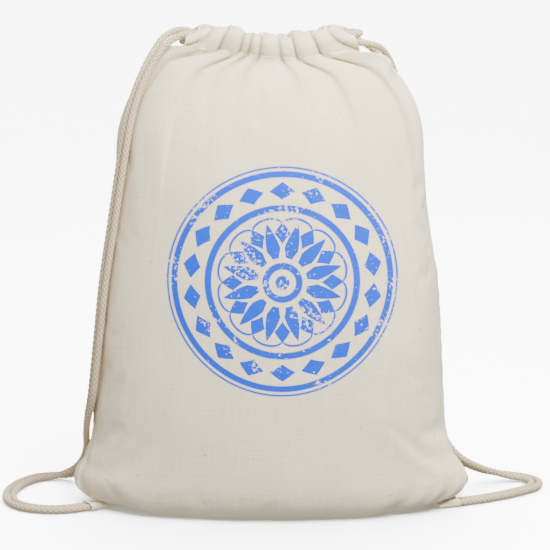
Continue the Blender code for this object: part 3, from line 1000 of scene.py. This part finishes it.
def panel_piece(side, moves):
    """One panel, folded and settled."""
    settings = bag_settings()
    word = "front" if side < 0 else "back"
    plain, folded, u, share = folded_grid(side, settings.panel_columns, settings.panel_rows)
    if moves is not None:
        size = settings.panel_rows + 1, settings.panel_columns + 1
        folded[UNDER_ROWS:] += finer(moves[UNDER_ROWS:], *size)
    folded, cord_shadow = clear_of_cords(folded)
    folded[..., 2] = np.maximum(folded[..., 2], 0.0)
    across, up = flat_places(plain)
    rows, columns = u.shape
    if side < 0:
        slot, finish = "printed_cotton", finish_for("printed_weave", printed_finish)
    else:
        slot, finish = "cotton", finish_for("plain_weave", cotton_finish)
    piece = new_piece(
        word + "_panel_cloth", folded.reshape(-1, 3), grid_faces(rows, columns, flip=side > 0),
        None, [word + "_panel"], finish,
    )
    cloth = np.stack([across, up, np.full_like(up, 0.5 if side > 0 else 0.0)], axis=-1)
    add_numbers(piece.data, "cloth", cloth.reshape(-1, 3))
    place = np.stack([
        (plain[..., 0] - settings.print_x) / settings.print_radius,
        (plain[..., 2] - settings.print_z) / settings.print_radius,
        np.zeros_like(up),
    ], axis=-1)
    add_numbers(piece.data, "print_at", place.reshape(-1, 3))
    fade = np.clip(1 - share, 0, None)
    # painted shade in the creases, and painted shadow along the cords
    painted_shade = painted_crease_shade(crease_place(u, fade), creases_of(side), fade * 2.0).ravel()
    add_numbers(piece.data, "painted_shade", np.maximum(painted_shade, cord_shadow))
    thicken(piece, settings.cloth_thickness)
    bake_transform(piece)


class BACKPACK_OT_panels(bpy.types.Operator):
    """Make the front and back panels of the bag"""

    bl_idname = "backpack.panels"
    bl_label = "Panels"

    def execute(self, context):
        moves = [None, None]
        grids = [folded_grid(side, SETTLING_COLUMNS, SETTLING_ROWS) for side in (-1, 1)]
        moves = settle([grid[1] for grid in grids], grids[0][3])
        for side, moved in zip((-1, 1), moves):
            panel_piece(side, moved)
        return {"FINISHED"}


def casing_place(q, turn):
    """Where the crease at a place on a casing starts along the rim's top edge."""
    down = np.where(np.cos(turn) > 0, (1 - np.sin(turn)) / 2, 0.5)
    return q * CASING_HALF / NECK_HALF / (1 + CREASE_LEAN * down)


def casing_surface(q, turn, side):
    """Points of a gathered casing; q goes along it from -1 to 1, turn round it from its outer face."""
    settings = bag_settings()
    q, turn = np.broadcast_arrays(q, turn)
    x = q * CASING_HALF
    out, high = np.cos(turn), np.sin(turn)
    stand = lobes(casing_place(q, turn), creases_of(side), np.zeros_like(q))
    flat_face = (out > 0) & (high < 0)  # the outer face runs straight down into the panel
    y = CASING_HALF_DEPTH * np.where(flat_face, np.clip(out, 0, 1) ** 0.35, out)
    z = high * CASING_HALF_HEIGHT * np.where(high < 0, 1.05, 1.0)
    ending = smooth_step((np.abs(q) - 0.86) / 0.14)
    x = x + np.sign(q) * ending * (CASING_OVERHANG - 0.0026 * high - 0.0010 * np.sin(3 * turn + 1.0))
    tip = smooth_step((np.abs(q) - CASING_TIP_FROM) / (1 - CASING_TIP_FROM)) * np.clip(out, 0, 1) ** 0.5
    x = x + np.sign(q) * tip * CASING_TIP
    y, z = y * (1 - 0.24 * ending**2), z * (1 - 0.22 * ending**2)
    reach = np.hypot(y, z)
    relief = settings.fold_depth * (stand - 0.42 - 0.5 * np.clip(high, 0, 1) ** 2)
    inner = np.clip(-out, 0, 1)
    relief = relief * (1 - 0.3 * inner) + 0.0020 * inner * np.sin(q * 58 + 3 * np.sin(q * 9))
    stitched = -0.0010 * hump(high, 0.09, STITCH_HIGH)
    grow = 1 + (relief + stitched) / reach
    inward, drop = rim_slump(x, side)
    z = z * grow - CASING_TIP_DROP * tip * (0.5 + 0.5 * np.clip(high, 0, 1))
    return np.stack([x, casing_y(x, side) + side * y * grow + inward, CASING_Z + z + drop], axis=-1)


def casing_piece(side):
    """One gathered casing."""
    settings = bag_settings()
    word = "front" if side < 0 else "back"
    rows, around = settings.casing_stations, settings.casing_around
    q = np.linspace(-1, 1, rows)[:, None]
    turn = np.linspace(0, 2 * math.pi, around, endpoint=False)[None, :]
    points = casing_surface(q, turn, side)
    piece = new_piece(
        word + "_casing_cloth", points.reshape(-1, 3),
        grid_faces(rows, around, closed=True, flip=side > 0),
        word + "_rim", [word + "_casing"], finish_for("plain_weave", cotton_finish),
    )
    along = np.linspace(-settings.flat_width / 2, settings.flat_width / 2, rows)
    over = np.linspace(0, 0.05, around)
    grid_a, grid_o = np.meshgrid(along, over, indexing="ij")
    cloth = np.stack([grid_a, grid_o + 0.47, np.full_like(grid_a, 0.2)], axis=-1)
    add_numbers(piece.data, "cloth", cloth.reshape(-1, 3))
    place = casing_place(q, turn)
    # painted shade in the casing's creases
    add_numbers(piece.data, "painted_shade", painted_crease_shade(place, creases_of(side), 0 * place).ravel())
    thicken(piece, settings.cloth_thickness)


class BACKPACK_OT_casings(bpy.types.Operator):
    """Make the two gathered casings of the mouth"""

    bl_idname = "backpack.casings"
    bl_label = "Casings"

    def execute(self, context):
        for side in (-1, 1):
            casing_piece(side)
        return {"FINISHED"}


# ---------------------------------------------------------------- stitching, seams and tabs


def thread_piece(name, stitches, thickness, body, stands_for):
    """Stitches as one piece: each goes from one point to another, rising out of the cloth between."""
    rings, around = 5, 6
    points, faces = [], []
    for start, end, outward in stitches:
        start, end, outward = Vector(start), Vector(end), Vector(outward).normalized()
        way = (end - start).normalized()
        side = way.cross(outward).normalized()
        first = len(points)
        for k in range(rings + 1):
            t = k / rings
            arch = math.sin(math.pi * t)
            middle = start.lerp(end, t) + outward * thickness * (0.75 * arch - 0.25)
            radius = thickness / 2 * (0.55 + 0.45 * arch)
            for i in range(around):
                a = 2 * math.pi * i / around
                points.append(middle + (side * math.cos(a) + outward * math.sin(a)) * radius)
        tube = grid_faces(rings + 1, around, closed=True)
        faces += [tuple(first + corner for corner in quad) for quad in tube]
        faces.append(tuple(first + i for i in range(around))[::-1])
        faces.append(tuple(first + rings * around + i for i in range(around)))
    new_piece(
        name, points, faces, body, stands_for, finish_for("sewing_thread", thread_finish),
    )


class BACKPACK_OT_stitching(bpy.types.Operator):
    """Sew the hems of the casings and the bars of stitches at their ends"""

    bl_idname = "backpack.stitching"
    bl_label = "Stitching"

    def execute(self, context):
        settings = bag_settings()
        low = math.asin(STITCH_HIGH)
        for side, word in ((-1, "front"), (1, "back")):
            fine = np.linspace(-0.955, 0.955, 1400)
            line = casing_surface(fine, np.full_like(fine, low), side)
            inward, _ = rim_slump(fine * CASING_HALF, side)
            middle_y = casing_y(line[:, 0], side) + inward
            middle = np.stack([line[:, 0], middle_y, line[:, 2] + 0.003], axis=1)
            walked = walked_along(line)
            stitches = []
            spot = 0.0
            while spot + settings.stitch_length < walked[-1]:
                ends = [spot, spot + settings.stitch_length]
                a, b = (np.array([np.interp(e, walked, line[:, k]) for k in range(3)]) for e in ends)
                core = np.array([np.interp(spot, walked, middle[:, k]) for k in range(3)])
                outward = a - core
                outward[0] = 0
                stitches.append((a, b, outward))
                spot += settings.stitch_length + settings.stitch_gap
            node = word + "_casing_stitching"
            thread_piece(node + "_thread", stitches, settings.thread_width, word + "_rim", [node])
            for end, hand in ((-1, "left"), (1, "right")):
                bars = []
                for k in range(22):
                    turn = math.asin(0.42) * (2 * k / 21 - 1)
                    here, there = (0.917, 0.945) if k % 2 else (0.945, 0.917)
                    a = casing_surface(end * here, turn, side)
                    b = casing_surface(end * there, turn + 0.03, side)
                    bars.append((a, b, (0, side, 0)))
                node = f"{word}_casing_{hand}_tack"
                thread_piece(node + "_thread", bars, settings.thread_width, word + "_rim", [node])
        return {"FINISHED"}


def squared(value, power):
    """A sine or cosine bent towards its extremes, for a ring with square corners."""
    return np.sign(value) * np.abs(value) ** power


def closed_tube(name, rings, body, stands_for, finish):
    """A closed piece through rings of points, with its cloth coordinates."""
    rings = np.asarray(rings)
    count, around = rings.shape[:2]
    points = np.vstack([rings.reshape(-1, 3), rings[0].mean(axis=0), rings[-1].mean(axis=0)])
    faces = tube_faces(count, around)
    piece = new_piece(name, points, faces, body, stands_for, finish)
    step = np.linalg.norm(np.diff(rings, axis=0), axis=2).mean(axis=1)
    along = np.concatenate([[0], np.cumsum(step)])[:, None].repeat(around, axis=1)
    round_it = np.linspace(0, 0.03, around)[None, :].repeat(count, axis=0)
    cloth = np.stack([round_it + 0.7, along, np.zeros_like(along)], axis=-1).reshape(-1, 3)
    add_numbers(piece.data, "cloth", np.vstack([cloth, cloth[:1], cloth[-1:]]))
    return piece


def seam_piece(name, points, across, stands_for):
    """The raw edges inside a seam, bound with loops of overlock thread."""
    settings = bag_settings()
    path, length = smooth_path(points, 0.0008)
    across = np.array(across, dtype=float)
    ahead = np.gradient(path, axis=0)
    inward = np.cross(ahead, across)
    inward /= np.linalg.norm(inward, axis=1, keepdims=True)
    turn = np.linspace(0, 2 * math.pi, 16, endpoint=False)
    run = np.linspace(0, length, len(path))
    loop = np.abs(np.sin(run[:, None] * math.pi / SEAM_LOOP + 0.9 * np.sin(turn)[None, :]))
    thick = SEAM_THICKNESS * (1 + loop / 3)
    wave = 0.0004 * np.sin(run * 95.0) + 0.0003 * np.sin(run * 41.0 + 1.0)
    wide = SEAM_WIDTH + 0.0036 * squared(np.cos(turn), 0.5)
    tall = squared(np.sin(turn), 0.6) * thick + wave[:, None]
    rings = path[:, None] + inward[:, None] * wide[None, :, None] + across * tall[..., None]
    closed_tube(name, rings, "bag", stands_for, finish_for("sewing_thread", thread_finish))


class BACKPACK_OT_seams(bpy.types.Operator):
    """Make the overlocked seam edges inside the bag"""

    bl_idname = "backpack.seams"
    bl_label = "Seams"

    def execute(self, context):
        for end, hand in ((-1, "left"), (1, "right")):
            edge = wall_points(np.full(17, float(end)), np.linspace(0.17, 0.84, 17), -1) * (1, 0, 1)
            seam_piece(hand + "_side_seam_edge", edge, (0, end, 0), [hand + "_side_seam"])
        edge = seam_points(np.linspace(-0.9, 0.9, 17), 0)
        seam_piece("bottom_seam_edge", edge, (0, 1, 0), ["bottom_seam"])
        return {"FINISHED"}


class BACKPACK_OT_tabs(bpy.types.Operator):
    """Make the folded tabs in the bottom corners, which hold the cords' ends"""

    bl_idname = "backpack.tabs"
    bl_label = "Corner Tabs"

    def execute(self, context):
        settings = bag_settings()
        turn = np.linspace(0, 2 * math.pi, 48, endpoint=False)
        for hand, (root, way) in TABS.items():
            way = way.normalized()
            across = Vector((-way.y, way.x, 0))

            def ring(part, shrink):
                low = np.interp(part, (0, 0.45, 1), (0.0010, 0.0004, 0.0003))
                high = np.interp(part, (0, 0.45, 1), (0.0042, 0.0066, 0.0078))
                half = np.interp(part, (0, 0.5, 1), (0.0070, 0.0071, 0.0078)) - shrink
                middle, rise = (low + high) / 2, (high - low) / 2 - shrink
                wide = squared(np.cos(turn), 0.55) * half
                tall = squared(np.sin(turn), 0.55) * rise
                tall = tall * (1 - 0.10 * np.cos(2 * wide / half * math.pi) * (tall > 0))
                spot = np.array(root + way * TAB_LENGTH * part)
                return (
                    spot * (1, 1, 0)
                    + np.array(across) * wide[:, None]
                    + np.array((0, 0, 1)) * (middle + tall)[:, None]
                    + np.array(way) * 0.0004 * np.sin(3 * turn + part * 5)[:, None]
                )

            outer = [ring(part, 0.0) for part in np.linspace(-0.12, 1, 24)]
            lip = [ring(1.02, 0.0003)]
            inner = [ring(part, 0.0008) for part in np.linspace(1, 0.35, 14)]
            closed_tube(
                hand + "_corner_tab_tape", outer + lip + inner, "bag", [hand + "_corner_tab"],
                finish_for("plain_weave", cotton_finish),
            )
            stitches = []
            for row in (0.16, 0.30):
                spot = root + way * TAB_LENGTH * row
                for k in range(-2, 3):
                    a = spot + across * (k * 0.0026 - 0.0009)
                    b = spot + across * (k * 0.0026 + 0.0009)
                    top = float(np.interp(row, (0, 0.45, 1), (0.0042, 0.0066, 0.0078))) - 0.0001
                    stitches.append(((a.x, a.y, top), (b.x, b.y, top), (0, 0, 1)))
            thread_piece(hand + "_tab_thread", stitches, settings.thread_width, "bag", None)
        return {"FINISHED"}


# ---------------------------------------------------------------- stage


class BACKPACK_OT_stage(bpy.types.Operator):
    """Make the floor, the lights and the camera"""

    bl_idname = "backpack.stage"
    bl_label = "Stage"

    def execute(self, context):
        settings = context.scene.backpack_stage
        spread = np.linspace(-0.5, 0.5, FLOOR_ROWS) * settings.floor_size
        points = [(x, y, 0.0) for y in spread for x in spread]
        floor = new_piece(
            "floor", points, grid_faces(FLOOR_ROWS, FLOOR_ROWS), None, None,
            finish_for("floor", floor_finish), smooth=False,
        )
        floor.visible_diffuse = floor.visible_glossy = False
        lit = bpy.data.collections.new("lit_floor")
        lit.objects.link(floor)
        for name, place, size, power in (
            ("key_light", (0.36, -0.64, 1.16), 0.8, settings.key_power),
            ("fill_light", (-1.3, -1.6, 1.2), 1.6, settings.fill_power),
            ("back_light", (0.3, 1.2, 1.3), 1.2, settings.back_power),
        ):
            lamp = bpy.data.lights.new(name, "AREA")
            lamp.energy = power
            lamp.size = size
            lamp.color = (1.0, 0.99, 0.975)
            made = bpy.data.objects.new(name, lamp)
            made.location = place
            towards = Vector((0, 0, LIT_HEIGHT)) - Vector(place)
            made.rotation_euler = towards.to_track_quat("-Z", "Y").to_euler()
            context.scene.collection.objects.link(made)
        sky = bpy.data.lights.new("overhead_light", "SUN")
        sky.energy = settings.top_power
        sky.angle = math.radians(100)
        made = bpy.data.objects.new("overhead_light", sky)
        made.rotation_euler = (math.radians(-20), 0, 0)
        made.light_linking.receiver_collection = lit
        context.scene.collection.objects.link(made)
        world = bpy.data.worlds.new("studio")
        world.use_nodes = True
        surround = world.node_tree.nodes["Background"].inputs
        surround["Color"].default_value = (0.97, 0.98, 1.0, 1)
        surround["Strength"].default_value = settings.surround
        context.scene.world = world
        camera = bpy.data.objects.new("camera", bpy.data.cameras.new("camera"))
        context.scene.collection.objects.link(camera)
        aim = Vector((settings.aim_x, 0.0, settings.aim_z))
        tilt, swing = settings.camera_tilt, settings.camera_swing
        away = Vector((
            -math.sin(swing) * math.cos(tilt), -math.cos(swing) * math.cos(tilt), math.sin(tilt),
        ))
        camera.location = aim + away * settings.camera_distance
        camera.rotation_euler = (-away).to_track_quat("-Z", "Y").to_euler()
        camera.data.sensor_width = SENSOR_WIDTH
        camera.data.lens = SENSOR_WIDTH * settings.camera_distance / settings.view_width
        camera.data.clip_start = 0.01
        context.scene.camera = camera
        return {"FINISHED"}


# ---------------------------------------------------------------- settings and panel


def metres(name, description, default):
    return bpy.props.FloatProperty(
        name=name, description=description, default=default, unit="LENGTH", precision=4,
    )


def offset(name, description, default):
    return bpy.props.FloatVectorProperty(
        name=name, description=description, default=default, size=3,
        subtype="TRANSLATION", unit="LENGTH",
    )


def angle(name, description, default):
    return bpy.props.FloatProperty(
        name=name, description=description, default=math.radians(default), subtype="ANGLE",
    )


def colour(name, description, default):
    return bpy.props.FloatVectorProperty(
        name=name, description=description, default=default, size=3, subtype="COLOR", min=0, max=1,
    )


def amount(name, description, default):
    return bpy.props.FloatProperty(name=name, description=description, default=default)


def count(name, description, default):
    return bpy.props.IntProperty(name=name, description=description, default=default, min=3)


class BackpackCloth(bpy.types.PropertyGroup):
    flat_width: metres("Flat Width", "Width of a panel before it is sewn", 0.38)
    flat_height: metres("Flat Height", "Height of a panel below its hem", 0.43)
    cloth_thickness: metres("Cloth Thickness", "Thickness of the cotton", 0.0008)
    thread_pitch: metres("Thread Pitch", "Distance between threads of the weave", 0.0006)
    fold_depth: metres("Fold Depth", "How deep the gathered folds are at the mouth", 0.0088)
    cloth_stiffness: amount("Cloth Stiffness", "How hard the cloth is to bend as it settles", 0.4)
    filling_pressure: amount("Filling Pressure", "Push of the bag's filling on its cloth", 1.5)
    most_move: metres("Most Move", "How far the cloth may settle from its shape", 0.0080)
    left_puff: offset(
        "Left Puff", "How far the fold at the left shoulder stands out", (-0.005, -0.002, 0.011),
    )
    right_puff: offset(
        "Right Puff", "How far the fold at the right shoulder stands out", (0.008, -0.006, 0.007),
    )
    neck_bend: metres("Neck Bend", "Length of cloth that bends when the mouth closes", 0.021)
    stitch_length: metres("Stitch Length", "Length of one stitch", 0.0027)
    stitch_gap: metres("Stitch Gap", "Cloth between two stitches", 0.0008)
    thread_width: metres("Thread Width", "Thickness of the sewing thread", 0.0005)
    print_x: metres("Print Across", "Middle of the print, to the side", 0.0098)
    print_z: metres("Print Height", "Middle of the print, above the base", 0.2138)
    print_radius: metres("Print Radius", "Outer radius of the print", 0.0985)
    cloth_colour: colour("Cloth", "Light cotton threads", (0.905, 0.792, 0.568))
    shade_colour: colour("Cloth Shade", "Darker cotton threads", (0.725, 0.608, 0.412))
    fleck_colour: colour("Flecks", "Bits of cotton seed", (0.260, 0.170, 0.100))
    # painted shade: the colour of the cloth in the gathered creases and in the painted shadow along the
    # cords
    crease_shade_colour: colour("Creases", "Cloth deep in a gathered crease", (0.400, 0.315, 0.190))
    ink_colour: colour("Ink", "The print's ink", (0.000, 0.055, 0.600))
    ink_light: colour("Light Ink", "Ink where it is thinner", (0.000, 0.075, 0.690))
    thread_colour: colour("Thread", "Sewing thread", (0.780, 0.720, 0.610))
    thread_shade: colour("Thread Shade", "Sewing thread in its twist", (0.600, 0.530, 0.420))
    panel_columns: count("Panel Columns", "Mesh cells across a panel", 260)
    panel_rows: count("Panel Rows", "Mesh cells up a panel's wall", 190)
    casing_stations: count("Casing Stations", "Mesh cells along a casing", 420)
    casing_around: count("Casing Around", "Mesh cells around a casing", 40)


class BackpackCord(bpy.types.PropertyGroup):
    diameter: metres("Diameter", "Diameter of the cord", 0.0060)
    braid_relief: metres("Braid Relief", "How far the yarns stand out of the braid", 0.0013)
    yarn_lay: metres("Yarn Lay", "Length along the cord from one yarn to the next", 0.0050)
    mesh_step: metres("Mesh Step", "Length of a mesh cell along a cord", 0.0006)
    mesh_around: count("Mesh Around", "Mesh cells around a cord", 32)
    cord_colour: colour("Cord", "Cotton yarn of the cord", (0.560, 0.450, 0.280))
    # painted shade between the yarns of the braid
    crevice_shade_colour: colour("Crevices", "Yarn between the turns of the braid", (0.070, 0.048, 0.022))


class BackpackStage(bpy.types.PropertyGroup):
    floor_size: metres("Floor Size", "Side of the floor", 14.0)
    camera_distance: metres("Camera Distance", "From the camera to the bag", 2.2)
    view_width: metres("View Width", "Width of the view at the bag", 0.484)
    camera_tilt: angle("Camera Tilt", "Angle above the floor", 11)
    camera_swing: angle("Camera Swing", "Angle round from the front", 0)
    aim_x: metres("Aim Across", "Where the camera points, to the side", 0.0035)
    aim_z: metres("Aim Height", "Where the camera points, above the base", 0.2048)
    key_power: amount("Key Power", "Power of the main light, in watts", 51.0)
    fill_power: amount("Fill Power", "Power of the light from the left, in watts", 13.0)
    back_power: amount("Back Power", "Power of the light from behind, in watts", 22.0)
    top_power: amount("Overhead Strength", "Strength of the wide light overhead, for the floor", 29.0)
    surround: amount("Surround", "Strength of the light all around", 0.67)


OPERATORS = (
    BACKPACK_OT_stage, BACKPACK_OT_strands, BACKPACK_OT_runs, BACKPACK_OT_panels, BACKPACK_OT_casings,
    BACKPACK_OT_stitching, BACKPACK_OT_seams, BACKPACK_OT_tabs,
)
GROUPS = {
    "backpack_cloth": BackpackCloth, "backpack_cord": BackpackCord, "backpack_stage": BackpackStage,
}


class BACKPACK_PT_make(bpy.types.Panel):
    """Sizes, colours and the pieces to make"""

    bl_idname = "BACKPACK_PT_make"
    bl_label = "Drawstring Backpack"
    bl_space_type = "VIEW_3D"
    bl_region_type = "UI"
    bl_category = "Backpack"

    def draw(self, context):
        for name, group in GROUPS.items():
            box = self.layout.box()
            for prop in group.__annotations__:
                box.prop(getattr(context.scene, name), prop)
        for operator in OPERATORS:
            self.layout.operator(operator.bl_idname)


def register():
    for group in GROUPS.values():
        bpy.utils.register_class(group)
    for operator in OPERATORS:
        bpy.utils.register_class(operator)
    bpy.utils.register_class(BACKPACK_PT_make)
    for name, group in GROUPS.items():
        setattr(bpy.types.Scene, name, bpy.props.PointerProperty(type=group))


def unregister():
    for name in GROUPS:
        delattr(bpy.types.Scene, name)
    bpy.utils.unregister_class(BACKPACK_PT_make)
    for made in (*reversed(OPERATORS), *GROUPS.values()):
        bpy.utils.unregister_class(made)


def main():
    register()
    for operator in OPERATORS:
        group, call = operator.bl_idname.split(".")
        getattr(getattr(bpy.ops, group), call)()


if __name__ == "__main__":
    main()
